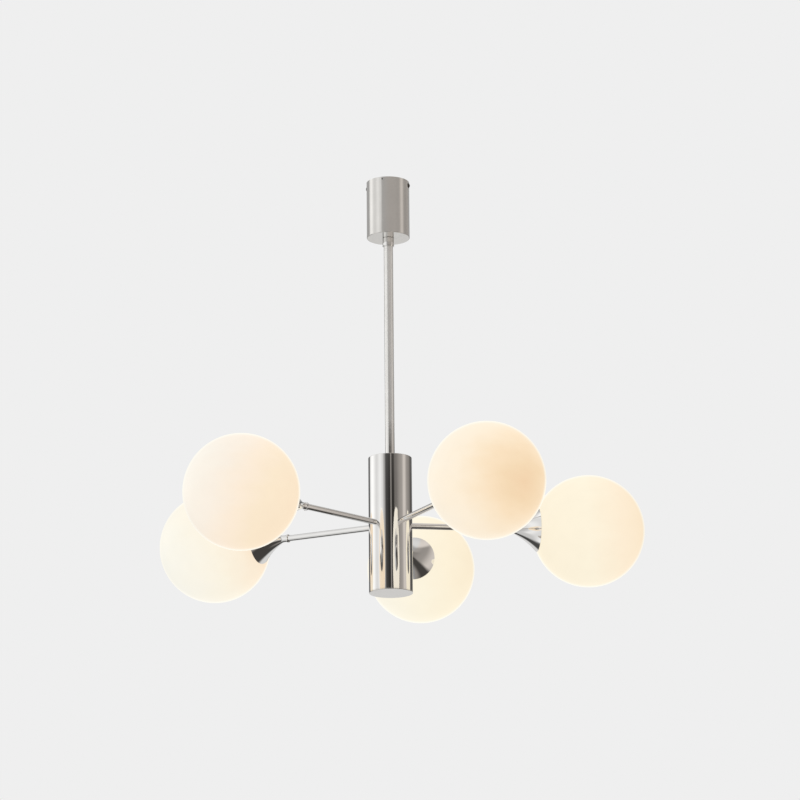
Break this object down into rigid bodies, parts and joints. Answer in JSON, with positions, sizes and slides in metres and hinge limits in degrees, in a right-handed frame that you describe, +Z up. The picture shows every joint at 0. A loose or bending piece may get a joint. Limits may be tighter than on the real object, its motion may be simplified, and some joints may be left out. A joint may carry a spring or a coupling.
{
  "type": "branch chandelier",
  "caption": "Branch chandelier: opal glass globes on level chromed arms that radiate from a drum hub, hung from a cup canopy by a rigid stem.",
  "frame": {"origin": "on the lamp's vertical axis in the ceiling's plane, at the centre of the two ceiling screw holes", "axes": "+Z up into the ceiling; +X along the first arm, towards globe_1; the arms follow anticlockwise seen from above"},
  "size_m": [0.6348, 0.6598, 0.571],
  "materials": {
    "chrome": "polished chrome plate",
    "satin_chrome": "chrome plate, slightly satin",
    "zinc_steel": "zinc-plated steel",
    "brass": "turned brass",
    "white_plastic": "moulded",
    "ceramic": "glazed",
    "opal_glass": "opal glass, glowing warm white",
    "lamp_glass": "frosted capsule lamp"
  },
  "bodies": {
    "ceiling_fixture": {"ceiling_bracket": "zinc_steel", "canopy": "satin_chrome", "canopy_screws": "chrome", "mains_terminal": "white_plastic", "terminal_screw": "zinc_steel", "earth_screw": "brass"},
    "pendant": {"swivel_nipple": "zinc_steel", "swivel_washer": "zinc_steel", "swivel_nut": "zinc_steel", "stem_coupler": "chrome", "stem_tube": "chrome", "hub_nipple": "zinc_steel", "hub_washer": "zinc_steel", "hub_nut": "zinc_steel", "hub_body": "chrome", "hub_cap": "satin_chrome", "arm_nuts": "zinc_steel", "holder_nuts": "zinc_steel", "arm_tube_1": "chrome", "arm_tube_2": "chrome", "arm_tube_3": "chrome", "arm_tube_4": "chrome", "arm_tube_5": "chrome", "arm_collar_1": "chrome", "arm_collar_2": "chrome", "arm_collar_3": "chrome", "arm_collar_4": "chrome", "arm_collar_5": "chrome", "shade_holder_1": "chrome", "shade_holder_2": "chrome", "shade_holder_3": "chrome", "shade_holder_4": "chrome", "shade_holder_5": "chrome", "gallery_1": "brass", "gallery_2": "brass", "gallery_3": "brass", "gallery_4": "brass", "gallery_5": "brass", "lampholder_1": "ceramic", "lampholder_2": "ceramic", "lampholder_3": "ceramic", "lampholder_4": "ceramic", "lampholder_5": "ceramic"},
    "globe_1": {"globe_1": "opal_glass"},
    "bulb_1": {"bulb_1": "lamp_glass"},
    "globe_2": {"globe_2": "opal_glass"},
    "bulb_2": {"bulb_2": "lamp_glass"},
    "globe_3": {"globe_3": "opal_glass"},
    "bulb_3": {"bulb_3": "lamp_glass"},
    "globe_4": {"globe_4": "opal_glass"},
    "bulb_4": {"bulb_4": "lamp_glass"},
    "globe_5": {"globe_5": "opal_glass"},
    "bulb_5": {"bulb_5": "lamp_glass"}
  },
  "joints": [
    {"name": "stem_swivel", "type": "hinge", "parent": "ceiling_fixture", "child": "pendant", "pos_m": [0, 0, -0.078], "axis": [0, 0, 1], "range_deg": [-170, 170]},
    {"name": "globe_1_off", "type": "slide", "parent": "pendant", "child": "globe_1", "axis": [1, 0, 0], "range_m": [0, 0.06]},
    {"name": "globe_2_off", "type": "slide", "parent": "pendant", "child": "globe_2", "axis": [0.309, 0.9511, 0], "range_m": [0, 0.06]},
    {"name": "globe_3_off", "type": "slide", "parent": "pendant", "child": "globe_3", "axis": [-0.809, 0.5878, 0], "range_m": [0, 0.06]},
    {"name": "globe_4_off", "type": "slide", "parent": "pendant", "child": "globe_4", "axis": [-0.809, -0.5878, 0], "range_m": [0, 0.06]},
    {"name": "globe_5_off", "type": "slide", "parent": "pendant", "child": "globe_5", "axis": [0.309, -0.9511, 0], "range_m": [0, 0.06]},
    {"name": "bulb_1_out", "type": "slide", "parent": "pendant", "child": "bulb_1", "axis": [1, 0, 0], "range_m": [0, 0.012]},
    {"name": "bulb_2_out", "type": "slide", "parent": "pendant", "child": "bulb_2", "axis": [0.309, 0.9511, 0], "range_m": [0, 0.012]},
    {"name": "bulb_3_out", "type": "slide", "parent": "pendant", "child": "bulb_3", "axis": [-0.809, 0.5878, 0], "range_m": [0, 0.012]},
    {"name": "bulb_4_out", "type": "slide", "parent": "pendant", "child": "bulb_4", "axis": [-0.809, -0.5878, 0], "range_m": [0, 0.012]},
    {"name": "bulb_5_out", "type": "slide", "parent": "pendant", "child": "bulb_5", "axis": [0.309, -0.9511, 0], "range_m": [0, 0.012]}
  ]
}
